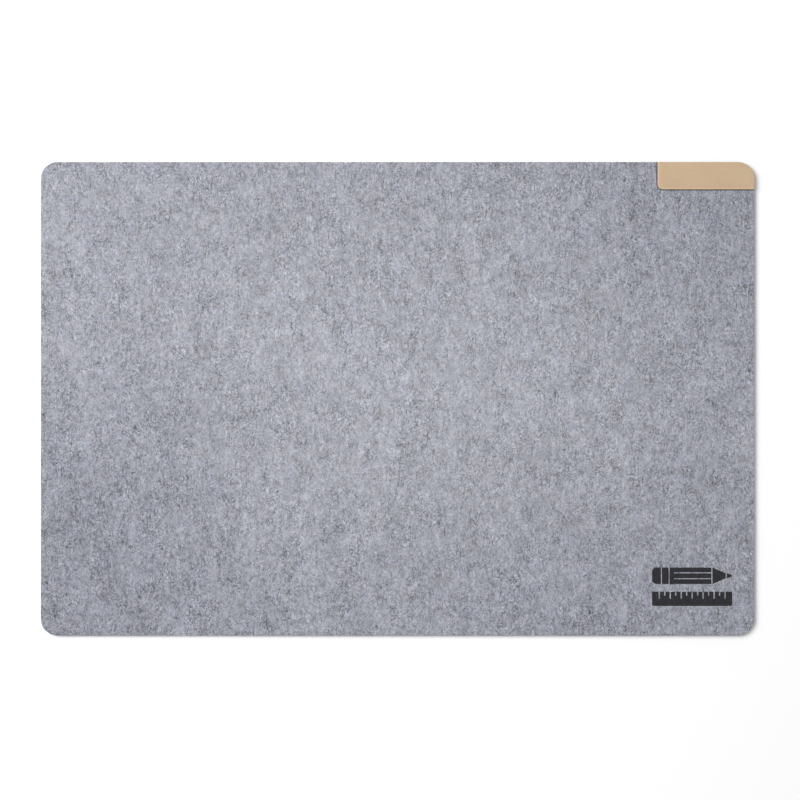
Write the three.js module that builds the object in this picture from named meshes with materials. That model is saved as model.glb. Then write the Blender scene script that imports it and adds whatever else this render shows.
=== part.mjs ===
// A flat desk mat: a grey felt sheet laminated to a thin anti-slip backing,
// with a tan leather patch bonded over one corner and a printed pictogram.
//
// Units are millimetres, +Z is up. The origin is the middle of the underside,
// +X runs along the mat's length and +Y towards its far long edge.

import * as THREE from "three";

// ---- Driving dimensions -------------------------------------------------

const MAT_LENGTH = 650;
const MAT_DEPTH = 431.5;
const CORNER_RADIUS = 15;

// Layer thicknesses are binary fractions, so that stacked faces meet exactly.
const BACKING_THICKNESS = 0.75;
const LAMINATING_FILM_THICKNESS = 0.25;
const FELT_THICKNESS = 3;
const PATCH_TAPE_THICKNESS = 0.125;
const PATCH_THICKNESS = 1.125;
const INK_THICKNESS = 0.125;

const PATCH_LENGTH = 88;
const PATCH_DEPTH = 25;
const PATCH_INNER_RADIUS = 5;
const TAPE_INSET = 1.5;

// The pictogram: a pencil above a ruler, near the right-hand near corner.
const MARK_RIGHT_MARGIN = 20;
const MARK_NEAR_MARGIN = 27;
const MARK_GAP = 1;
const PENCIL_LENGTH = 73;
const PENCIL_WIDTH = 15;
const ERASER_LENGTH = 8;
const ERASER_RADIUS = 4;
const FERRULE_LENGTH = 6;
const LEAD_LENGTH = 5;
const LEAD_WIDTH = 4.6;
const LEAD_TIP_WIDTH = 1.2;
const CONE_LENGTH = 12;
const FACET_SLOT_WIDTH = 1;
const FACET_SLOT_BACK = 4;
const RULER_LENGTH = 73;
const RULER_WIDTH = 13;
const RULER_RADIUS = 1.6;
const PENCIL_TO_RULER = 7;
const TICK_WIDTH = 1.2;
const TICK_PITCH = 5;
const SHORT_TICK = 3.6;
const LONG_TICK = 6.4;
const TICKS_PER_LONG_TICK = 2;

const ARC_SEGMENTS = 6;

// ---- Heights of the layers ----------------------------------------------

const filmBottom = BACKING_THICKNESS;
const feltBottom = filmBottom + LAMINATING_FILM_THICKNESS;
const feltTop = feltBottom + FELT_THICKNESS;
const patchBottom = feltTop + PATCH_TAPE_THICKNESS;

const matRight = MAT_LENGTH / 2;
const matFar = MAT_DEPTH / 2;

// ---- Materials ----------------------------------------------------------

function plain(color, roughness) {
  return new THREE.MeshStandardMaterial({ color, roughness, metalness: 0 });
}

const feltMaterial = plain(0x9a9ca8, 0.95);
const filmMaterial = plain(0xd9d6cc, 0.6);
const backingMaterial = plain(0x4a4b4e, 0.85);
const leatherMaterial = plain(0xc9b08f, 0.55);
const tapeMaterial = plain(0xe4e0d2, 0.6);
const inkMaterial = plain(0x2f2f32, 0.7);

// ---- Outlines -----------------------------------------------------------

// A rectangle between two corners, with its own radius at each corner.
// Radii go round from the near left corner: near left, near right, far right, far left.
function cornered(left, near, right, far, radii) {
  const corners = [
    [left, near, 1, 1, Math.PI],
    [right, near, -1, 1, 1.5 * Math.PI],
    [right, far, -1, -1, 0],
    [left, far, 1, -1, 0.5 * Math.PI],
  ];
  const shape = new THREE.Shape();
  corners.forEach(([x, y, inX, inY, start], i) => {
    const radius = radii[i];
    if (radius === 0) {
      if (i === 0) shape.moveTo(x, y);
      else shape.lineTo(x, y);
      return;
    }
    const end = start + Math.PI / 2;
    shape.absarc(x + inX * radius, y + inY * radius, radius, start, end, false);
  });
  shape.closePath();
  return shape;
}

function polygon(points) {
  return new THREE.Shape(points.map(([x, y]) => new THREE.Vector2(x, y)));
}

function layer(name, shape, bottom, thickness, material) {
  const geometry = new THREE.ExtrudeGeometry(shape, {
    depth: thickness,
    bevelEnabled: false,
    curveSegments: ARC_SEGMENTS,
  });
  const mesh = new THREE.Mesh(geometry, material);
  mesh.name = name;
  mesh.position.z = bottom;
  return mesh;
}

// ---- The laminated mat --------------------------------------------------

function matOutline() {
  const radii = [CORNER_RADIUS, CORNER_RADIUS, CORNER_RADIUS, CORNER_RADIUS];
  return cornered(-matRight, -matFar, matRight, matFar, radii);
}

function makeMat() {
  const group = new THREE.Group();
  const outline = matOutline();
  group.add(
    layer("anti_slip_backing", outline, 0, BACKING_THICKNESS, backingMaterial),
    layer("laminating_film", outline, filmBottom, LAMINATING_FILM_THICKNESS, filmMaterial),
    layer("felt_sheet", outline, feltBottom, FELT_THICKNESS, feltMaterial),
  );
  return group;
}

// ---- The leather corner patch -------------------------------------------

// The patch is trimmed flush with the mat's far and right-hand edges.
function patchOutline(inset) {
  const left = matRight - PATCH_LENGTH + inset;
  const near = matFar - PATCH_DEPTH + inset;
  const innerRadius = PATCH_INNER_RADIUS - inset;
  const outerRadius = CORNER_RADIUS - inset;
  const radii = [innerRadius, 0, outerRadius, 0];
  return cornered(left, near, matRight - inset, matFar - inset, radii);
}

function makePatch() {
  const group = new THREE.Group();
  group.add(
    layer("patch_tape", patchOutline(TAPE_INSET), feltTop, PATCH_TAPE_THICKNESS, tapeMaterial),
    layer("leather_patch", patchOutline(0), patchBottom, PATCH_THICKNESS, leatherMaterial),
  );
  return group;
}

// ---- The printed pictogram ----------------------------------------------

function eraserOutline() {
  const half = PENCIL_WIDTH / 2;
  return cornered(0, -half, ERASER_LENGTH, half, [ERASER_RADIUS, 0, 0, ERASER_RADIUS]);
}

// A bar with two long slots, open at the cone end, that show the pencil's facets.
function shaftOutline(start, end) {
  const half = PENCIL_WIDTH / 2;
  const slotEnd = start + FACET_SLOT_BACK;
  const facet = (PENCIL_WIDTH - 2 * FACET_SLOT_WIDTH) / 3;
  const lowSlot = -half + facet;
  const highSlot = half - facet;
  return polygon([
    [start, -half],
    [end, -half],
    [end, lowSlot],
    [slotEnd, lowSlot],
    [slotEnd, lowSlot + FACET_SLOT_WIDTH],
    [end, lowSlot + FACET_SLOT_WIDTH],
    [end, highSlot - FACET_SLOT_WIDTH],
    [slotEnd, highSlot - FACET_SLOT_WIDTH],
    [slotEnd, highSlot],
    [end, highSlot],
    [end, half],
    [start, half],
  ]);
}

function taper(start, end, startWidth, endWidth) {
  return polygon([
    [start, -startWidth / 2],
    [end, -endWidth / 2],
    [end, endWidth / 2],
    [start, startWidth / 2],
  ]);
}

// The ruler's graduations are slots cut down from its far edge.
function rulerOutline() {
  const half = RULER_WIDTH / 2;
  const count = Math.floor(RULER_LENGTH / TICK_PITCH) - 1;
  const firstTick = (RULER_LENGTH - (count - 1) * TICK_PITCH) / 2;
  const shape = new THREE.Shape();
  shape.absarc(RULER_RADIUS, -half + RULER_RADIUS, RULER_RADIUS, Math.PI, 1.5 * Math.PI, false);
  shape.absarc(
    RULER_LENGTH - RULER_RADIUS,
    -half + RULER_RADIUS,
    RULER_RADIUS,
    1.5 * Math.PI,
    2 * Math.PI,
    false,
  );
  shape.lineTo(RULER_LENGTH, half);
  for (let i = count - 1; i >= 0; i -= 1) {
    const middle = firstTick + i * TICK_PITCH;
    const deep = i % TICKS_PER_LONG_TICK === 0 ? LONG_TICK : SHORT_TICK;
    shape.lineTo(middle + TICK_WIDTH / 2, half);
    shape.lineTo(middle + TICK_WIDTH / 2, half - deep);
    shape.lineTo(middle - TICK_WIDTH / 2, half - deep);
    shape.lineTo(middle - TICK_WIDTH / 2, half);
  }
  shape.lineTo(0, half);
  shape.closePath();
  return shape;
}

function printed(name, shape) {
  return layer(name, shape, feltTop, INK_THICKNESS, inkMaterial);
}

function makePencilPrint() {
  const coneEnd = PENCIL_LENGTH - LEAD_LENGTH - MARK_GAP;
  const coneStart = coneEnd - CONE_LENGTH;
  const ferruleStart = ERASER_LENGTH + MARK_GAP;
  const ferruleEnd = ferruleStart + FERRULE_LENGTH;
  const half = PENCIL_WIDTH / 2;
  const ferrule = cornered(ferruleStart, -half, ferruleEnd, half, [0, 0, 0, 0]);
  const group = new THREE.Group();
  group.add(
    printed("print_pencil_eraser", eraserOutline()),
    printed("print_pencil_ferrule", ferrule),
    printed("print_pencil_shaft", shaftOutline(ferruleEnd + MARK_GAP, coneStart - MARK_GAP)),
    printed("print_pencil_cone", taper(coneStart, coneEnd, PENCIL_WIDTH, LEAD_WIDTH)),
    printed("print_pencil_lead", taper(coneEnd + MARK_GAP, PENCIL_LENGTH, LEAD_WIDTH, LEAD_TIP_WIDTH)),
  );
  return group;
}

function makeMark() {
  const group = new THREE.Group();
  const pencil = makePencilPrint();
  pencil.position.y = RULER_WIDTH / 2 + PENCIL_TO_RULER + PENCIL_WIDTH / 2;
  const ruler = new THREE.Group();
  ruler.add(printed("print_ruler", rulerOutline()));
  group.add(pencil, ruler);
  group.position.x = matRight - MARK_RIGHT_MARGIN - PENCIL_LENGTH;
  group.position.y = -matFar + MARK_NEAR_MARGIN + RULER_WIDTH / 2;
  return group;
}

// ---- Assembly -----------------------------------------------------------

const deskMat = new THREE.Group();
deskMat.add(makeMat(), makePatch(), makeMark());

export default deskMat;
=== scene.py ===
"""Looks of a felt desk mat with a leather corner patch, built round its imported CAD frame.

The CAD frame gives every size. This script replaces the soft layers with detailed meshes:
a felt sheet with an uneven pressed surface and a cut edge, a leather patch that sits in a
shallow groove of the felt, an anti-slip backing, and an ink print draped over the felt.
"""

import math

import bmesh
import bpy
import numpy as np
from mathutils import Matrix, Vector, noise
from mathutils.bvhtree import BVHTree


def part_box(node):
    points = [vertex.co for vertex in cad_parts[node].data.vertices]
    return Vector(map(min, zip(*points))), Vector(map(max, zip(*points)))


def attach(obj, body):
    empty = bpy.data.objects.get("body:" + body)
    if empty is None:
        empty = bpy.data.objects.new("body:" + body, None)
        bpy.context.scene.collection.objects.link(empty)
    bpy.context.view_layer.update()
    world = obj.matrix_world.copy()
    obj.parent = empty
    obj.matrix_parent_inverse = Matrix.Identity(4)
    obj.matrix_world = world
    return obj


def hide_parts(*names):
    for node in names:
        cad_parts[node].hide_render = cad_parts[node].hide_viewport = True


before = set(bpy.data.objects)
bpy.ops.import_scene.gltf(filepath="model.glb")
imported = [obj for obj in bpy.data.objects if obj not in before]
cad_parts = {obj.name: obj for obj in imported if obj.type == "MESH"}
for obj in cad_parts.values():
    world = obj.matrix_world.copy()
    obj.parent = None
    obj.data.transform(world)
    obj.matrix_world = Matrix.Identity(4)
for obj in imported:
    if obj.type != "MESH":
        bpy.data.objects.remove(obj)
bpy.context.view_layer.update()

MM = 0.001

# ---- Sizes read from the frame --------------------------------------------

FELT_LOW, FELT_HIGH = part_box("felt_sheet")
BACKING_LOW, BACKING_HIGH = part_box("anti_slip_backing")
PATCH_LOW, PATCH_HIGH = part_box("leather_patch")
MAT_RIGHT = FELT_HIGH.x
MAT_FAR = FELT_HIGH.y
FELT_TOP = FELT_HIGH.z
PRINT_NODES = [name for name in sorted(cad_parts) if name.startswith("print_")]

# ---- Shape constants ------------------------------------------------------

CORNER_RADIUS = 15 * MM
PATCH_INNER_RADIUS = 5 * MM

# The last cell of a grid is never narrower than this share of a full one.
LAST_CELL = 0.4

# The felt's grid is finer along the outline, and beside the patch's inner edges.
FELT_GRID = 2.05 * MM
FELT_EDGE_GRID = 0.13 * MM
FELT_EDGE_BAND = 1.0 * MM
FELT_EDGE_RADIUS = 0.4 * MM
GROOVE_GRID = 0.3 * MM
GROOVE_BAND_OUTSIDE = 1.5 * MM
GROOVE_BAND_INSIDE = 1.0 * MM

# Bumps of the felt's face: (width of a bump, height), longer along the mat's depth.
FELT_BUMPS = ((22 * MM, 0.09 * MM), (8 * MM, 0.06 * MM), (4.5 * MM, 0.035 * MM))
FELT_BUMP_STRETCH = 1.6
FELT_BUMP_SEED_STEP = 3.7

# The felt's outline wanders a little, out to a small distance in from the edge.
EDGE_WANDER = 0.09 * MM
EDGE_WANDER_WIDTH = 5 * MM
EDGE_WANDER_REACH = 2.5 * MM
EDGE_WANDER_SEED = 50

# The felt's cut edge.
FELT_WALL_ROWS = 5
FELT_WALL_SWELL = 0.12 * MM
FELT_WALL_UNEVEN = 0.1 * MM
FELT_WALL_UNEVEN_WIDTH = 3 * MM
FELT_WALL_SEED = 20
FELT_WALL_SEED_SPAN = 9

# The groove that the patch's inner edges press into the felt, and the painted shadow on the felt beside
# it.
GROOVE_WIDTH = 1.3 * MM
GROOVE_UNDER = 0.9 * MM
GROOVE_DEPTH = 0.9 * MM
# The painted shadow beside the patch ends at the first distance out, and fades in over the second.
PATCH_SHADOW_END = 1.32 * MM
PATCH_SHADOW_FADE = 0.6 * MM

LEATHER_GRID = 1.1 * MM
LEATHER_EDGE_GRID = 0.1 * MM
LEATHER_EDGE_BAND = 1.3 * MM
LEATHER_EDGE_RADIUS = 0.3 * MM
LEATHER_BUMPS = ((9 * MM, 0.05 * MM), (3 * MM, 0.02 * MM))
LEATHER_BUMP_SEED = 71
LEATHER_DROP = 0.1 * MM
LEATHER_PRESS = 0.18 * MM
LEATHER_PRESS_REACH = 4 * MM
# Width of the painted highlight along the patch's inner edges.
LEATHER_HIGHLIGHT_WIDTH = 1.8 * MM
LEATHER_SINK = 0.5 * MM
LEATHER_TURN_UNDER = 0.9 * MM

BACKING_GRID = 6 * MM
BACKING_CORNER_GRID = 1 * MM
BACKING_EDGE_GRID = 0.1 * MM
BACKING_EDGE_BAND = 0.6 * MM
BACKING_EDGE_RADIUS = 0.2 * MM

INK_GRID = 1.5 * MM
INK_RAISE = 0.1 * MM
INK_ROOT = 0.06 * MM
INK_EDGE_WANDER = 0.1 * MM
INK_EDGE_WANDER_WIDTH = 1.3 * MM
INK_EDGE_SEED = 4
MERGE_DISTANCE = 0.01 * MM
FACES_UP = 0.9
RAY_HEIGHT = 5 * MM


# ---- Small geometry helpers -----------------------------------------------


def grid_lines(low, high, step, zones):
    """Grid lines from low to high, closer together inside each zone (start, end, step)."""
    lines = [low]
    while lines[-1] < high:
        at = lines[-1]
        gap = min([step] + [fine for start, end, fine in zones if start <= at < end])
        stops = [start for start, _, _ in zones if at < start < at + gap]
        following = min(stops) if stops else at + gap
        lines.append(high if following > high - LAST_CELL * gap else following)
    return np.array(lines)


def edge_zones(low, high, width, step):
    """Zones of close grid lines just inside both ends."""
    return [(low, low + width, step), (high - width, high, step)]


def rounded_grid(xs, ys, radii):
    """A grid of points over a rectangle whose corners are pulled in to the given radii.

    Radii go round from the near left corner: near left, near right, far right, far left.
    """
    x, y = (a.copy() for a in np.meshgrid(xs, ys))
    corners = ((xs[0], ys[0]), (xs[-1], ys[0]), (xs[-1], ys[-1]), (xs[0], ys[-1]))
    middle = ((xs[0] + xs[-1]) / 2, (ys[0] + ys[-1]) / 2)
    for (corner_x, corner_y), radius in zip(corners, radii, strict=True):
        if radius == 0:
            continue
        side_x = 1 if corner_x > middle[0] else -1
        side_y = 1 if corner_y > middle[1] else -1
        centre_x, centre_y = corner_x - side_x * radius, corner_y - side_y * radius
        u, v = side_x * (x - centre_x), side_y * (y - centre_y)
        inside = (u > 0) & (v > 0)
        scale = np.ones_like(x)
        scale[inside] = np.maximum(u, v)[inside] / np.hypot(u, v)[inside]
        x = centre_x + (x - centre_x) * scale
        y = centre_y + (y - centre_y) * scale
    return x, y


def inset_of(xs, ys):
    """How far each point of the grid is inside the outline, along the grid's own lines."""
    to_x = np.minimum(xs - xs[0], xs[-1] - xs)
    to_y = np.minimum(ys - ys[0], ys[-1] - ys)
    return np.minimum(*np.meshgrid(to_x, to_y))


def rounding(inset, radius):
    """How far a rounded edge drops below the face, at a given inset from the outline."""
    inside = np.clip(radius - inset, 0, radius)
    return radius - np.sqrt(radius**2 - inside**2)


def noise_field(x, y, width, seed, stretch=1.0):
    """Smooth noise from -1 to 1 with bumps of the given width, longer in y by stretch."""
    flat = [
        noise.noise(Vector((a / width, b / (width * stretch), seed)))
        for a, b in zip(x.ravel().tolist(), y.ravel().tolist(), strict=True)
    ]
    return np.array(flat).reshape(x.shape)


def loop_indices(rows, columns):
    """The grid's outline as indices, counter-clockwise seen from above."""
    near = [(0, c) for c in range(columns - 1)]
    right = [(r, columns - 1) for r in range(rows - 1)]
    far = [(rows - 1, c) for c in range(columns - 1, 0, -1)]
    left = [(r, 0) for r in range(rows - 1, 0, -1)]
    return np.array([r * columns + c for r, c in near + right + far + left])


def outward(points):
    """The outward direction at each point of a counter-clockwise closed loop."""
    along = np.roll(points, -1, axis=0) - np.roll(points, 1, axis=0)
    normal = np.stack([along[:, 1], -along[:, 0]], axis=1)
    return normal / np.linalg.norm(normal, axis=1, keepdims=True)


def rim_points(x, y, z):
    """The points round the outline of a grid, counter-clockwise seen from above."""
    loop = loop_indices(*x.shape)
    return np.stack([values.ravel()[loop] for values in (x, y, z)], axis=1)


def ring_below(rim, push, height):
    """The outline moved outwards by push, with its points at the given heights."""
    pushed = rim[:, :2] + outward(rim[:, :2]) * np.reshape(push, (-1, 1))
    return np.column_stack([pushed, np.broadcast_to(height, len(rim))])


def sheet_mesh(name, x, y, z, rings):
    """A closed mesh: a grid as its face, walls down through the rings, and a flat back."""
    rows, columns = x.shape
    top = np.stack([x.ravel(), y.ravel(), z.ravel()], axis=1)
    faces = []
    for r in range(rows - 1):
        for c in range(columns - 1):
            a = r * columns + c
            faces.append((a, a + 1, a + columns + 1, a + columns))
    above = loop_indices(rows, columns).tolist()
    count = len(above)
    for i in range(len(rings)):
        start = len(top) + i * count
        below = list(range(start, start + count))
        for j in range(count):
            k = (j + 1) % count
            faces.append((above[k], above[j], below[j], below[k]))
        above = below
    faces.append(tuple(reversed(above)))
    mesh = bpy.data.meshes.new(name)
    mesh.from_pydata(np.concatenate([top, *rings]).tolist(), [], faces)
    mesh.validate()
    mesh.update()
    return mesh


def add_share(mesh, name, face_shares, rest=0.0):
    """Stores a share from 0 to 1 at each point of the face grid, and rest on the walls."""
    shares = np.full(len(mesh.vertices), rest)
    shares[: face_shares.size] = face_shares.ravel()
    stored = mesh.attributes.new(name, "FLOAT", "POINT")
    stored.data.foreach_set("value", shares.astype(np.float32))


def add_piece(name, mesh, material, node, smooth=True):
    """Links a piece that stands for a CAD node and rides on the mat's one body."""
    piece = bpy.data.objects.new(name, mesh)
    bpy.context.scene.collection.objects.link(piece)
    piece.data.materials.append(material)
    # A sheet's flat back is one face with many sides, and isn't smoothed into its walls.
    for polygon in piece.data.polygons:
        polygon.use_smooth = smooth and len(polygon.vertices) <= 4
    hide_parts(node)
    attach(piece, "root")
    return piece


# ---- Node graph helper ----------------------------------------------------


class Graph:
    """A new material with a Principled shader, and short calls that add nodes to it."""

    def __init__(self, name):
        self.material = bpy.data.materials.new(name)
        self.material.use_nodes = True
        self.nodes = self.material.node_tree.nodes
        self.links = self.material.node_tree.links
        self.shader = next(n for n in self.nodes if n.type == "BSDF_PRINCIPLED")
        self.place = self.nodes.new("ShaderNodeTexCoord").outputs["Object"]

    def link(self, source, socket):
        """Feeds a socket from another node's output, or sets it to a plain value."""
        if isinstance(source, bpy.types.NodeSocket):
            self.links.new(source, socket)
        else:
            socket.default_value = source

    def set(self, **values):
        """Sets the shader's own sockets, named with underscores for spaces."""
        for key, value in values.items():
            self.link(value, self.shader.inputs[key.replace("_", " ")])

    def math(self, operation, *values, clamp=False):
        node = self.nodes.new("ShaderNodeMath")
        node.operation = operation
        node.use_clamp = clamp
        for i, value in enumerate(values):
            self.link(value, node.inputs[i])
        return node.outputs[0]

    def scaled(self, value, factor, offset=0.0):
        """The value times a factor, plus an offset."""
        return self.math("MULTIPLY_ADD", value, factor, offset)

    def vector_math(self, operation, a, b):
        node = self.nodes.new("ShaderNodeVectorMath")
        node.operation = operation
        self.link(a, node.inputs[0])
        self.link(b, node.inputs[1])
        return node.outputs[0]

    def mapped(self, vector, turn=0.0, scale=(1, 1, 1), move=(0, 0, 0)):
        node = self.nodes.new("ShaderNodeMapping")
        node.vector_type = "TEXTURE"
        self.link(vector, node.inputs["Vector"])
        node.inputs["Location"].default_value = move
        node.inputs["Rotation"].default_value = (0, 0, turn)
        node.inputs["Scale"].default_value = scale
        return node.outputs[0]

    def at_width(self, vector, width, move=0.0):
        """Coordinates in which one unit is the given width."""
        return self.mapped(vector, scale=(width,) * 3, move=(move,) * 3)

    def noise_node(self, vector, scale=1.0, detail=0.0, distortion=0.0):
        node = self.nodes.new("ShaderNodeTexNoise")
        self.link(vector, node.inputs["Vector"])
        node.inputs["Scale"].default_value = scale
        node.inputs["Detail"].default_value = detail
        node.inputs["Distortion"].default_value = distortion
        return node

    def noise(self, vector, **settings):
        """Noise from 0 to 1."""
        return self.noise_node(vector, **settings).outputs["Fac"]

    def cells(self, vector, scale):
        """Distance to the middle of the nearest cell."""
        node = self.nodes.new("ShaderNodeTexVoronoi")
        self.link(vector, node.inputs["Vector"])
        node.inputs["Scale"].default_value = scale
        return node.outputs["Distance"]

    def attribute(self, name):
        """A share that the mesh stores at each of its points."""
        node = self.nodes.new("ShaderNodeAttribute")
        node.attribute_name = name
        return node.outputs["Fac"]

    def spread(self, value, low, high, to_low=0.0, to_high=1.0):
        """A value from low to high carried smoothly to the range to_low to to_high."""
        node = self.nodes.new("ShaderNodeMapRange")
        node.interpolation_type = "SMOOTHSTEP"
        self.link(value, node.inputs["Value"])
        node.inputs["From Min"].default_value = low
        node.inputs["From Max"].default_value = high
        node.inputs["To Min"].default_value = to_low
        node.inputs["To Max"].default_value = to_high
        return node.outputs["Result"]

    def mix(self, share, a, b, blend="MIX"):
        node = self.nodes.new("ShaderNodeMix")
        node.data_type = "RGBA"
        node.blend_type = blend
        self.link(share, node.inputs["Factor"])
        self.link(a, node.inputs["A"])
        self.link(b, node.inputs["B"])
        return node.outputs["Result"]

    def tinted(self, base, tint):
        """A colour multiplied by another colour or by a tone."""
        return self.mix(1.0, base, tint, "MULTIPLY")

    def bump(self, height, strength, distance):
        node = self.nodes.new("ShaderNodeBump")
        node.inputs["Strength"].default_value = strength
        node.inputs["Distance"].default_value = distance
        self.link(height, node.inputs["Height"])
        return node.outputs["Normal"]

    def total(self, terms):
        """The sum of (value, weight) pairs, each value centred on a half first."""
        whole = 0.0
        for value, weight in terms:
            whole = self.scaled(self.math("SUBTRACT", value, 0.5), weight, whole)
        return whole


# ---- Felt -----------------------------------------------------------------

FELT_COLOUR = (0.313, 0.3205, 0.3645, 1.0)
LIGHT_FIBRE = (0.49, 0.50, 0.56, 1.0)
DARK_FIBRE = (0.071, 0.073, 0.087, 1.0)
# Colour multiplied into the felt beside the patch's inner edges: a painted shadow.
PATCH_SHADOW_TINT = (0.6, 0.6, 0.63, 1.0)
CUT_LIGHT = (0.44, 0.45, 0.51, 1.0)
CUT_DARK = (0.05, 0.052, 0.062, 1.0)

# Fibre bundles: (turn in degrees, width and length in millimetres, share of the felt covered).
DARK_BUNDLES = ((86, 0.75, 9.0, 0.40), (40, 0.7, 5.0, 0.30), (130, 0.7, 5.0, 0.30), (4, 0.7, 6.0, 0.25))
LIGHT_BUNDLES = ((96, 0.8, 6.5, 0.30), (55, 0.75, 5.0, 0.25), (146, 0.75, 5.0, 0.25))
FINE_LIGHT_FIBRES = ((70, 0.22, 5.0, 0.35), (160, 0.22, 4.0, 0.35))
FINE_DARK_FIBRES = ((25, 0.2, 5.0, 0.3), (115, 0.2, 6.0, 0.3))
DARK_SEED = 7
LIGHT_SEED = 41
FINE_LIGHT_SEED = 61
FINE_DARK_SEED = 87

# Bundles of one kind start this far apart in their noise, and are this deep, in millimetres.
BUNDLE_SEED_STEP = 13
BUNDLE_DEPTH = 5

# A bundle is where the noise is past a threshold: a half for full cover, and more for less.
BUNDLE_THRESHOLD_RISE = 0.22
BUNDLE_FADE_BELOW = 0.04
BUNDLE_FADE_ABOVE = 0.1

# How strongly each kind of fibre covers what is under it. Dark bundles cover more in a crowd.
LIGHT_COVER = 0.3
FINE_LIGHT_COVER = 0.55
FINE_DARK_COVER = 0.5
DARK_COVER = 0.15
DARK_COVER_IN_CROWD = 0.5
CROWD_WIDTH = 11 * MM

# How the fibres curl: width and reach of a curl in millimetres, and its seed.
FELT_CURL = (9, 3.5, 3)

# Mottling: (width of a cloud in millimetres, weight). The grain is stronger in a crowd.
FELT_CLOUDS = ((36, 0.15), (17, 0.28), (8, 0.42), (3.6, 0.55))
FELT_GRAIN = ((1.9, 0.84), (1.2, 1.1), (0.8, 1.15))
FELT_GRAIN_STRETCH = 1.5
FELT_CLOUD_MOVE = 11 * MM
GRAIN_SHARE = 0.58
GRAIN_SHARE_IN_CROWD = 0.4

# A painted light falloff: a slow drift of shade and hue across the whole sheet.
FELT_FALLOFF_WIDTH = 420 * MM
FELT_FALLOFF_START = (0.08, 0.97, 1.89)
FELT_FALLOFF_WEIGHT = 0.88
FALLOFF_WARM = (1.004, 1.0, 0.988, 1.0)
FALLOFF_COOL = (0.994, 1.0, 1.014, 1.0)

# Small patches of warmer and cooler grey.
HUE_WIDTH = 6 * MM
HUE_WARM = (1.02, 1.0, 0.988, 1.0)
HUE_COOL = (0.98, 1.0, 1.012, 1.0)

# The cut edge shows flattened layers of fibre.
CUT_FLATTENING = 0.4
CUT_SCALE = 650
CUT_COVER = 0.7

# Relief of the felt's surface.
FINE_LIGHT_RELIEF = 0.35
TONE_RELIEF = 0.6
CUT_RELIEF = 2.0
FELT_BUMP_STRENGTH = 0.4
FELT_BUMP_DISTANCE = 0.25 * MM


def curled(graph, width, reach, seed):
    """Object coordinates pushed about by noise, so that straight streaks curl."""
    place = graph.mapped(graph.place, scale=(width * MM,) * 3, move=(seed * MM, seed * MM, 0))
    push = graph.vector_math("SUBTRACT", graph.noise_node(place).outputs["Color"], (0.5, 0.5, 0.5))
    return graph.vector_math("ADD", graph.place, graph.vector_math("MULTIPLY", push, (reach * MM,) * 3))


def bundles(graph, place, spec, seed):
    """How much of a light or dark fibre bundle lies at each point, from 0 to 1."""
    found = 0.0
    for i, (turn, width, length, share) in enumerate(spec):
        streak = graph.mapped(
            place,
            turn=math.radians(turn),
            scale=(length * MM, width * MM, BUNDLE_DEPTH * MM),
            move=((seed + BUNDLE_SEED_STEP * i) * MM, 0, seed * MM),
        )
        threshold = 0.5 + BUNDLE_THRESHOLD_RISE * (1 - share)
        low, high = threshold - BUNDLE_FADE_BELOW, threshold + BUNDLE_FADE_ABOVE
        bundle = graph.spread(graph.noise(streak, detail=1.0), low, high)
        found = graph.math("MAXIMUM", bundle, found)
    return found


def cloud_terms(graph, place, clouds):
    """Noise of each width with its weight, ready to be added up."""
    return [
        (graph.noise(graph.at_width(place, width * MM, FELT_CLOUD_MOVE)), weight)
        for width, weight in clouds
    ]


def felt_tone(graph, place, stretched, crowd, painted_falloff):
    """The felt's clouds, painted light falloff and grain, as a change of brightness centred on zero."""
    clouds = graph.total([*cloud_terms(graph, stretched, FELT_CLOUDS), (painted_falloff, FELT_FALLOFF_WEIGHT)])
    grain_place = graph.mapped(place, scale=(1, FELT_GRAIN_STRETCH, 1))
    grain = graph.total(cloud_terms(graph, grain_place, FELT_GRAIN))
    share = graph.scaled(crowd, GRAIN_SHARE_IN_CROWD, GRAIN_SHARE)
    return graph.math("ADD", clouds, graph.math("MULTIPLY", grain, share))


def felt_fibres(graph, place, base, crowd):
    """Lays the fibres over the base colour, and gives the new colour and their relief."""
    fine_light = bundles(graph, place, FINE_LIGHT_FIBRES, FINE_LIGHT_SEED)
    fine_dark = bundles(graph, place, FINE_DARK_FIBRES, FINE_DARK_SEED)
    light = bundles(graph, place, LIGHT_BUNDLES, LIGHT_SEED)
    dark = bundles(graph, place, DARK_BUNDLES, DARK_SEED)
    dark_cover = graph.scaled(crowd, DARK_COVER_IN_CROWD, DARK_COVER)
    base = graph.mix(graph.scaled(fine_light, FINE_LIGHT_COVER), base, LIGHT_FIBRE)
    base = graph.mix(graph.scaled(fine_dark, FINE_DARK_COVER), base, DARK_FIBRE)
    base = graph.mix(graph.scaled(light, LIGHT_COVER), base, LIGHT_FIBRE)
    base = graph.mix(graph.math("MULTIPLY", dark, dark_cover), base, DARK_FIBRE)
    raised = graph.math("ADD", light, graph.scaled(fine_light, FINE_LIGHT_RELIEF))
    return base, graph.math("SUBTRACT", raised, dark)


def felt_hue(graph, place, base, painted_falloff):
    """Shifts the colour between warm and cool, in small patches and, with the painted light falloff,
    across the sheet.
    """
    patches = graph.noise(graph.at_width(place, HUE_WIDTH), detail=2.0)
    base = graph.tinted(base, graph.mix(graph.spread(patches, 0.35, 0.65), HUE_WARM, HUE_COOL))
    return graph.tinted(base, graph.mix(graph.spread(painted_falloff, 0.3, 0.7), FALLOFF_COOL, FALLOFF_WARM))


def felt_cut(graph, base):
    """Shows layers of fibre on the cut edge, and gives the new colour and their relief."""
    flat_place = graph.mapped(graph.place, scale=(1, 1, CUT_FLATTENING))
    layers = graph.noise(flat_place, scale=CUT_SCALE, detail=3.0)
    cut = graph.attribute("cut")
    shade = graph.mix(graph.spread(layers, 0.25, 0.72), CUT_DARK, CUT_LIGHT)
    base = graph.mix(graph.scaled(cut, CUT_COVER), base, shade)
    return base, graph.scaled(graph.math("MULTIPLY", layers, cut), CUT_RELIEF)


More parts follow.
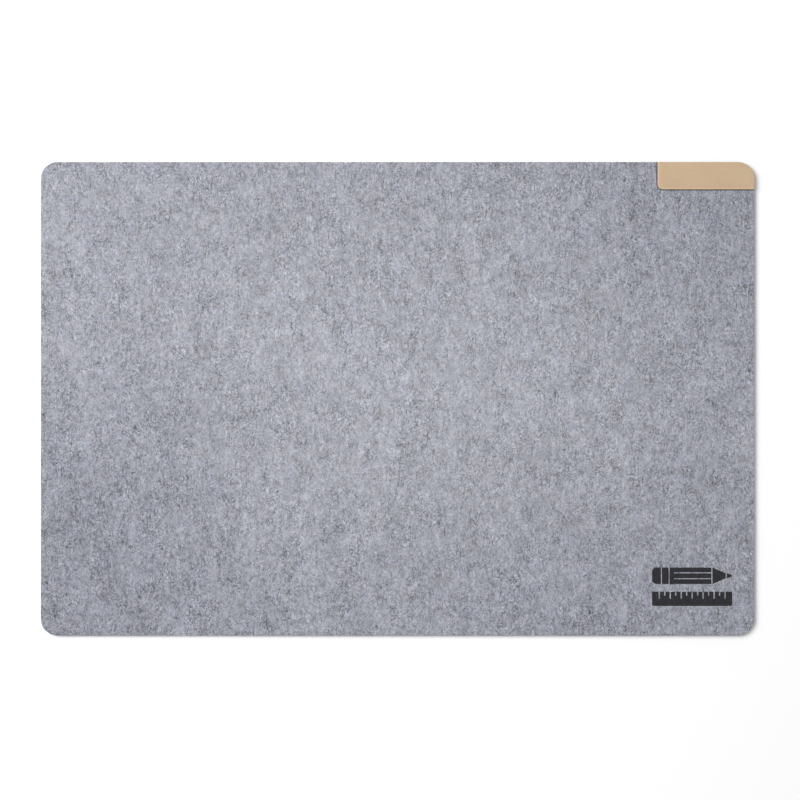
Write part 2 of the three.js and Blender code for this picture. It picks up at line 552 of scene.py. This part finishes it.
def felt_material():
    """Grey melange felt: its mottling with a painted light falloff, then its fibres, hue, cut edge, and
    a painted shadow beside the pressed groove.
    """
    graph = Graph("felt_melange")
    place = curled(graph, *FELT_CURL)
    stretched = graph.mapped(place, scale=(1, FELT_BUMP_STRETCH, 1))
    # Painted light falloff: a slow noise that lightens and darkens the sheet the way the light falls
    # off across it.
    falloff_place = graph.mapped(graph.place, scale=(FELT_FALLOFF_WIDTH,) * 3, move=FELT_FALLOFF_START)
    painted_falloff = graph.noise(falloff_place)
    crowd = graph.spread(graph.noise(graph.at_width(stretched, CROWD_WIDTH), detail=1.0), 0.3, 0.7)
    tone = felt_tone(graph, place, stretched, crowd, painted_falloff)
    base = graph.tinted(FELT_COLOUR, graph.math("ADD", tone, 1.0))
    base, fibre_relief = felt_fibres(graph, place, base, crowd)
    base = felt_hue(graph, place, base, painted_falloff)
    base, cut_relief = felt_cut(graph, base)
    # Painted shadow: the felt beside the patch's inner edges is darkened where the patch would shade
    # it.
    base = graph.mix(graph.attribute("pressed"), base, PATCH_SHADOW_TINT, "MULTIPLY")
    relief = graph.math("ADD", fibre_relief, graph.scaled(tone, TONE_RELIEF))
    relief = graph.math("ADD", relief, cut_relief)
    graph.set(Base_Color=base, Roughness=0.95, Sheen_Weight=0.03, Sheen_Roughness=0.5)
    normal = graph.bump(relief, FELT_BUMP_STRENGTH, FELT_BUMP_DISTANCE)
    graph.set(Specular_IOR_Level=0.12, Normal=normal)
    return graph.material


def beside_patch(x, y):
    """Distance outside the patch's two inner edges and their corner, negative under the patch."""
    outside_x, outside_y = PATCH_LOW.x - x, PATCH_LOW.y - y
    u, v = outside_x + PATCH_INNER_RADIUS, outside_y + PATCH_INNER_RADIUS
    round_corner = np.hypot(u, v) - PATCH_INNER_RADIUS
    return np.where((u > 0) & (v > 0), round_corner, np.maximum(outside_x, outside_y))


def smooth_share(value):
    """The value held between 0 and 1, with a soft start and end."""
    value = np.clip(value, 0, 1)
    return value * value * (3 - 2 * value)


def groove_share(x, y):
    """How deep the groove round the patch's inner edges is at each point, from 0 to 1."""
    beside = beside_patch(x, y)
    return smooth_share(1 - np.where(beside > 0, beside / GROOVE_WIDTH, -beside / GROOVE_UNDER))


def felt_relief(x, y):
    """Height of the felt's face against its nominal level: soft bumps, and the patch's groove."""
    height = np.zeros_like(x)
    for i, (width, size) in enumerate(FELT_BUMPS):
        height += size * noise_field(x, y, width, FELT_BUMP_SEED_STEP * i, FELT_BUMP_STRETCH)
    return height - GROOVE_DEPTH * groove_share(x, y)


def felt_wall(rim, low):
    """The cut edge: it swells a little at mid height and is uneven all along."""
    rings = []
    for row in range(1, FELT_WALL_ROWS + 1):
        share = row / FELT_WALL_ROWS
        seed = FELT_WALL_SEED + FELT_WALL_SEED_SPAN * share
        uneven = FELT_WALL_UNEVEN * noise_field(rim[:, 0], rim[:, 1], FELT_WALL_UNEVEN_WIDTH, seed)
        swell = FELT_WALL_SWELL * math.sin(math.pi * share)
        rings.append(ring_below(rim, swell + uneven, rim[:, 2] + (low - rim[:, 2]) * share))
    return rings


def felt_grid():
    """The lines of the felt's grid along X and along Y."""
    lines = []
    for axis in (0, 1):
        low, high, edge = FELT_LOW[axis], FELT_HIGH[axis], PATCH_LOW[axis]
        inner_corner = PATCH_INNER_RADIUS + GROOVE_BAND_OUTSIDE
        zones = edge_zones(low, high, FELT_EDGE_BAND, FELT_EDGE_GRID)
        zones.append((edge - GROOVE_BAND_OUTSIDE, edge + GROOVE_BAND_INSIDE, GROOVE_GRID))
        zones.append((edge, edge + inner_corner, 2 * GROOVE_GRID))
        lines.append(grid_lines(low, high, FELT_GRID, zones))
    return lines


def make_felt():
    xs, ys = felt_grid()
    x, y = rounded_grid(xs, ys, [CORNER_RADIUS] * 4)
    inset = inset_of(xs, ys)
    near_edge = smooth_share(1 - inset / EDGE_WANDER_REACH)
    wander = EDGE_WANDER * near_edge * noise_field(x, y, EDGE_WANDER_WIDTH, EDGE_WANDER_SEED)
    x, y = x * (1 + wander / MAT_RIGHT), y * (1 + wander / MAT_FAR)
    z = FELT_TOP + felt_relief(x, y) - rounding(inset, FELT_EDGE_RADIUS)
    rings = felt_wall(rim_points(x, y, z), FELT_LOW.z)
    mesh = sheet_mesh("felt_sheet_detail", x, y, z, rings)
    # The pressed share marks where the painted shadow beside the patch goes.
    add_share(mesh, "pressed", smooth_share((PATCH_SHADOW_END - beside_patch(x, y)) / PATCH_SHADOW_FADE))
    add_share(mesh, "cut", np.zeros_like(x), rest=1.0)
    return add_piece("felt_sheet_detail", mesh, felt_material(), "felt_sheet")


# ---- Leather patch --------------------------------------------------------

LEATHER_COLOUR = (0.525, 0.386, 0.250, 1.0)
# Lighter colour along the patch's inner edges: a painted highlight.
LEATHER_HIGHLIGHT_COLOUR = (0.65, 0.465, 0.29, 1.0)
LEATHER_PORE_COLOUR = (0.30, 0.20, 0.12, 1.0)
LEATHER_CUT_LIGHT = (0.46, 0.33, 0.20, 1.0)
LEATHER_CUT_DARK = (0.27, 0.18, 0.10, 1.0)
LEATHER_PORE_COVER = 0.15
LEATHER_ROUGHNESS = 0.5
LEATHER_ROUGHNESS_CHANGE = 0.3
LEATHER_CURL = (2, 1, 5)

# Features of the leather, as a number per metre.
LEATHER_CLOUD_SCALE = 22
LEATHER_WRINKLE_SCALE = 500
LEATHER_GRAIN_SCALE = 1500
LEATHER_PORE_SCALE = 1900
LEATHER_FIBRE_SCALE = 2500
LEATHER_FIBRE_FLATTENING = 0.3
LEATHER_BUMP_STRENGTH = 0.5
LEATHER_BUMP_DISTANCE = 0.12 * MM


def leather_material():
    """Tan leather: a fine grain with pores, a painted highlight along the inner edges, and a raw cut
    edge.
    """
    graph = Graph("leather_tan")
    clouds = graph.noise(graph.place, scale=LEATHER_CLOUD_SCALE, detail=3.0)
    grain = graph.cells(curled(graph, *LEATHER_CURL), LEATHER_GRAIN_SCALE)
    pores = graph.spread(graph.noise(graph.place, scale=LEATHER_PORE_SCALE, detail=1.0), 0.62, 0.72)
    wrinkles = graph.noise(graph.place, scale=LEATHER_WRINKLE_SCALE, detail=3.0, distortion=0.6)
    tone = graph.math("ADD", graph.total([(clouds, 0.28), (wrinkles, 0.08), (grain, 0.06)]), 1.0)
    # Painted highlight: the inner edges are given a lighter colour.
    base = graph.mix(graph.attribute("rim"), LEATHER_COLOUR, LEATHER_HIGHLIGHT_COLOUR)
    base = graph.tinted(base, tone)
    base = graph.mix(graph.scaled(pores, LEATHER_PORE_COVER), base, LEATHER_PORE_COLOUR)
    flat_place = graph.mapped(graph.place, scale=(1, 1, LEATHER_FIBRE_FLATTENING))
    fibres = graph.noise(flat_place, scale=LEATHER_FIBRE_SCALE, detail=2.0)
    raw = graph.mix(fibres, LEATHER_CUT_DARK, LEATHER_CUT_LIGHT)
    base = graph.mix(graph.attribute("cut"), base, raw)
    relief = graph.total([(grain, 0.8), (wrinkles, 0.9), (fibres, 0.2)])
    relief = graph.math("SUBTRACT", relief, graph.scaled(pores, 0.5))
    rough = graph.total([(wrinkles, LEATHER_ROUGHNESS_CHANGE)])
    rough = graph.math("ADD", rough, LEATHER_ROUGHNESS)
    graph.set(Base_Color=base, Roughness=rough, Specular_IOR_Level=0.35)
    graph.set(Normal=graph.bump(relief, LEATHER_BUMP_STRENGTH, LEATHER_BUMP_DISTANCE))
    return graph.material


def leather_wall(rim, low):
    """The cut edge, sunk into the felt's groove on the inner sides, and turned under to the tape."""
    sink = LEATHER_SINK * smooth_share(1 + beside_patch(rim[:, 0], rim[:, 1]) / GROOVE_UNDER)
    foot = FELT_TOP - sink
    halfway = ring_below(rim, 0, (rim[:, 2] + foot) / 2)
    return [halfway, ring_below(rim, 0, foot), ring_below(rim, -LEATHER_TURN_UNDER, low)]


def leather_relief(x, y, inset):
    """Height of the patch's face against its highest level: soft bumps, and a pressed rim."""
    height = np.full_like(x, -LEATHER_DROP)
    for i, (width, size) in enumerate(LEATHER_BUMPS):
        height += size * noise_field(x, y, width, LEATHER_BUMP_SEED + i)
    pressed = LEATHER_PRESS * smooth_share(1 - inset / LEATHER_PRESS_REACH)
    return height - pressed - rounding(inset, LEATHER_EDGE_RADIUS)


def make_leather():
    lines = []
    for low, high in ((PATCH_LOW.x, PATCH_HIGH.x), (PATCH_LOW.y, PATCH_HIGH.y)):
        zones = edge_zones(low, high, LEATHER_EDGE_BAND, LEATHER_EDGE_GRID)
        lines.append(grid_lines(low, high, LEATHER_GRID, zones))
    xs, ys = lines
    x, y = rounded_grid(xs, ys, [PATCH_INNER_RADIUS, 0, CORNER_RADIUS, 0])
    z = PATCH_HIGH.z + leather_relief(x, y, inset_of(xs, ys))
    mesh = sheet_mesh("leather_patch_detail", x, y, z, leather_wall(rim_points(x, y, z), PATCH_LOW.z))
    # The rim share marks the painted highlight along the patch's inner edges.
    add_share(mesh, "rim", smooth_share(1 + beside_patch(x, y) / LEATHER_HIGHLIGHT_WIDTH), rest=1.0)
    add_share(mesh, "cut", np.zeros_like(x), rest=1.0)
    return add_piece("leather_patch_detail", mesh, leather_material(), "leather_patch")


# ---- Anti-slip backing ----------------------------------------------------

BACKING_COLOUR = (0.075, 0.076, 0.08, 1.0)
BACKING_PORE_COLOUR = (0.02, 0.02, 0.022, 1.0)
BACKING_LINT_COLOUR = (0.3, 0.3, 0.33, 1.0)
BACKING_PORE_COVER = 0.6
BACKING_LINT_COVER = 0.3
BACKING_LINT = ((12, 0.15, 6.0, 0.1), (75, 0.15, 8.0, 0.1), (140, 0.15, 6.0, 0.1))
BACKING_LINT_SEED = 23
BACKING_CURL = (6, 2, 9)

# Features of the rubber, as a number per metre.
BACKING_CLOUD_SCALE = 35
BACKING_PORE_SCALE = 240
BACKING_PEBBLE_SCALE = 900
BACKING_BUMP_STRENGTH = 0.7
BACKING_BUMP_DISTANCE = 0.3 * MM


def backing_material():
    """Foamed rubber: a fine pebble grain, a few open pores, and pale lint that clings to it."""
    graph = Graph("anti_slip_backing")
    place = curled(graph, *BACKING_CURL)
    pebbles = graph.cells(place, BACKING_PEBBLE_SCALE)
    pores = graph.spread(graph.cells(graph.place, BACKING_PORE_SCALE), 0.16, 0.26, 1.0, 0.0)
    clouds = graph.noise(graph.place, scale=BACKING_CLOUD_SCALE, detail=4.0)
    lint = bundles(graph, place, BACKING_LINT, BACKING_LINT_SEED)
    tone = graph.math("ADD", graph.total([(pebbles, 0.9), (clouds, 0.7)]), 1.0)
    base = graph.tinted(BACKING_COLOUR, tone)
    base = graph.mix(graph.scaled(pores, BACKING_PORE_COVER), base, BACKING_PORE_COLOUR)
    base = graph.mix(graph.scaled(lint, BACKING_LINT_COVER), base, BACKING_LINT_COLOUR)
    relief = graph.math("SUBTRACT", graph.total([(pebbles, 1.0), (clouds, 0.4)]), pores)
    graph.set(Base_Color=base, Roughness=0.85, Specular_IOR_Level=0.3)
    graph.set(Normal=graph.bump(relief, BACKING_BUMP_STRENGTH, BACKING_BUMP_DISTANCE))
    return graph.material


def make_backing():
    """The same kind of sheet as the felt, turned over: its grid is the underside."""
    low, high = BACKING_LOW, BACKING_HIGH
    lines = []
    for start, end in ((low.x, high.x), (low.y, high.y)):
        zones = edge_zones(start, end, BACKING_EDGE_BAND, BACKING_EDGE_GRID)
        zones += edge_zones(start, end, CORNER_RADIUS, BACKING_CORNER_GRID)
        lines.append(grid_lines(start, end, BACKING_GRID, zones))
    xs, ys = lines
    x, y = rounded_grid(xs, ys, [CORNER_RADIUS] * 4)
    z = high.z - rounding(inset_of(xs, ys), BACKING_EDGE_RADIUS)
    rim = rim_points(x, y, z)
    rings = [ring_below(rim, 0, (rim[:, 2] + low.z) / 2), ring_below(rim, 0, low.z)]
    mesh = sheet_mesh("backing_detail", x, y, z, rings)
    for vertex in mesh.vertices:
        vertex.co.z = low.z + high.z - vertex.co.z
    mesh.flip_normals()
    return add_piece("backing_detail", mesh, backing_material(), "anti_slip_backing")


# ---- Print ----------------------------------------------------------------

INK_COLOUR = (0.016, 0.016, 0.019, 1.0)
INK_THIN_COLOUR = (0.055, 0.056, 0.064, 1.0)
INK_SPECKLE_SCALE = 900
INK_SPECKLE_COVER = 0.5
INK_FIBRE_COVER = 0.4
INK_BUMP_STRENGTH = 0.5
INK_BUMP_DISTANCE = 0.2 * MM


def ink_material():
    """Matt ink, thinner in small specks and where the felt's light fibres come through."""
    graph = Graph("print_ink")
    fibres = bundles(graph, curled(graph, *FELT_CURL), LIGHT_BUNDLES, LIGHT_SEED)
    speckle = graph.noise(graph.place, scale=INK_SPECKLE_SCALE, detail=2.0)
    thin = graph.scaled(graph.spread(speckle, 0.5, 0.75), INK_SPECKLE_COVER)
    thin = graph.math("ADD", thin, graph.math("MULTIPLY", fibres, INK_FIBRE_COVER), clamp=True)
    relief = graph.total([(speckle, 1.0), (fibres, 0.7)])
    graph.set(Base_Color=graph.mix(thin, INK_COLOUR, INK_THIN_COLOUR), Roughness=0.8)
    normal = graph.bump(relief, INK_BUMP_STRENGTH, INK_BUMP_DISTANCE)
    graph.set(Specular_IOR_Level=0.3, Normal=normal)
    return graph.material


def flat_outline(node):
    """The CAD print's upper face alone, as one flat mesh cut into small cells."""
    made = bmesh.new()
    made.from_mesh(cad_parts[node].data)
    bmesh.ops.remove_doubles(made, verts=made.verts, dist=MERGE_DISTANCE)
    sides = [face for face in made.faces if face.normal.z < FACES_UP]
    bmesh.ops.delete(made, geom=sides, context="FACES")
    low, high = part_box(node)
    for axis in (0, 1):
        for line in np.arange(low[axis] + INK_GRID, high[axis], INK_GRID):
            point, normal = Vector(), Vector()
            point[axis], normal[axis] = line, 1
            everything = made.verts[:] + made.edges[:] + made.faces[:]
            bmesh.ops.bisect_plane(made, geom=everything, plane_co=point, plane_no=normal)
    return made


def make_print(node, felt_tree, material):
    """An ink film that follows the felt's face under it, with a slightly ragged outline."""
    made = flat_outline(node)
    for vertex in made.verts:
        if vertex.is_boundary:
            push = noise.noise_vector(vertex.co / INK_EDGE_WANDER_WIDTH) * INK_EDGE_WANDER
            vertex.co += Vector((push.x, push.y, 0))
    for vertex in made.verts:
        above = Vector((vertex.co.x, vertex.co.y, FELT_TOP + RAY_HEIGHT))
        hit, _, _, _ = felt_tree.ray_cast(above, Vector((0, 0, -1)))
        vertex.co.z = hit.z - INK_ROOT
    grown = bmesh.ops.extrude_face_region(made, geom=made.faces[:])
    for item in grown["geom"]:
        if isinstance(item, bmesh.types.BMVert):
            item.co.z += INK_ROOT + INK_RAISE
    bmesh.ops.recalc_face_normals(made, faces=made.faces[:])
    name = node + "_film"
    mesh = bpy.data.meshes.new(name)
    made.to_mesh(mesh)
    made.free()
    return add_piece(name, mesh, material, node, smooth=False)


def make_prints(felt):
    felt_mesh = felt.data
    points = [vertex.co.copy() for vertex in felt_mesh.vertices]
    faces = [tuple(polygon.vertices) for polygon in felt_mesh.polygons]
    tree = BVHTree.FromPolygons(points, faces)
    material = ink_material()
    # Unseeded, noise_vector would give another outline on each run.
    noise.seed_set(INK_EDGE_SEED)
    return [make_print(node, tree, material) for node in PRINT_NODES]


# ---- Inner layers, kept as the CAD made them -------------------------------

FILM_COLOUR = (0.16, 0.16, 0.165, 1.0)
TAPE_COLOUR = (0.35, 0.32, 0.26, 1.0)
HAZE_SCALE = 300
HAZE_BUMP_STRENGTH = 0.2
HAZE_BUMP_DISTANCE = 0.1 * MM


def film_material(name, colour):
    """A plain film or tape with a slight haze."""
    graph = Graph(name)
    haze = graph.noise(graph.place, scale=HAZE_SCALE, detail=3.0)
    tone = graph.math("ADD", graph.total([(haze, 0.3)]), 1.0)
    graph.set(Base_Color=graph.tinted(colour, tone), Roughness=0.6)
    graph.set(Normal=graph.bump(haze, HAZE_BUMP_STRENGTH, HAZE_BUMP_DISTANCE))
    return graph.material


def finish_inner_layers():
    finishes = {
        "laminating_film": film_material("laminating_film", FILM_COLOUR),
        "patch_tape": film_material("patch_tape", TAPE_COLOUR),
    }
    for node, material in finishes.items():
        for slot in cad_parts[node].material_slots:
            slot.material = material
    return [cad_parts[node] for node in finishes]


# ---- Floor, lights and camera ----------------------------------------------

# The frame is this wide at the felt's face, and the camera looks straight down at its middle.
VIEW_WIDTH = 0.729
VIEW_CENTRE = (2.3 * MM, -1.1 * MM)
LENS = 85
SENSOR = 36
CLIP_START = 0.1
CLIP_END = 100

# A big soft light high on the left, and an even room, in metres and watts.
FLOOR_SIZE = 60
FLOOR_COLOUR = (0.95, 0.95, 0.95, 1.0)
KEY_PLACE = (-2.6, 1.3, 3.0)
KEY_SIZE = (2.4, 2.4)
KEY_WATTS = 172
ROOM_COLOUR = (1.0, 1.0, 1.0, 1.0)
ROOM_LEVEL = 0.505


def make_floor():
    bpy.ops.mesh.primitive_plane_add(size=FLOOR_SIZE, location=(0, 0, 0))
    floor = bpy.context.object
    floor.name = "floor"
    graph = Graph("floor_white")
    graph.set(Base_Color=FLOOR_COLOUR, Roughness=1.0, Specular_IOR_Level=0.0)
    floor.data.materials.append(graph.material)


def area_light(name, place, size, watts):
    """A soft square light that looks at the middle of the mat."""
    data = bpy.data.lights.new(name, "AREA")
    data.shape = "RECTANGLE"
    data.size, data.size_y = size
    data.energy = watts
    light = bpy.data.objects.new(name, data)
    bpy.context.scene.collection.objects.link(light)
    light.location = place
    light.rotation_euler = (-Vector(place)).to_track_quat("-Z", "Y").to_euler()
    light.visible_camera = False


def make_world():
    """Even light from all round, which is also the plain backdrop past the floor."""
    world = bpy.data.worlds.new("soft_room")
    bpy.context.scene.world = world
    world.use_nodes = True
    background = world.node_tree.nodes["Background"]
    background.inputs["Color"].default_value = ROOM_COLOUR
    background.inputs["Strength"].default_value = ROOM_LEVEL


def make_lights():
    make_world()
    area_light("key_left", KEY_PLACE, KEY_SIZE, KEY_WATTS)


def make_camera():
    """Looks straight down, from as far as the view's width asks for."""
    data = bpy.data.cameras.new("camera")
    data.lens = LENS
    data.sensor_width = SENSOR
    data.clip_start, data.clip_end = CLIP_START, CLIP_END
    camera = bpy.data.objects.new("camera", data)
    bpy.context.scene.collection.objects.link(camera)
    camera.location = (*VIEW_CENTRE, FELT_TOP + VIEW_WIDTH * LENS / SENSOR)
    bpy.context.scene.camera = camera
    bpy.context.scene.view_settings.view_transform = "Standard"


# ---- Assembly ---------------------------------------------------------------


make_camera()
make_lights()
make_floor()
felt_piece = make_felt()
backing_piece = make_backing()
leather_piece = make_leather()
print_pieces = make_prints(felt_piece)
inner_pieces = finish_inner_layers()
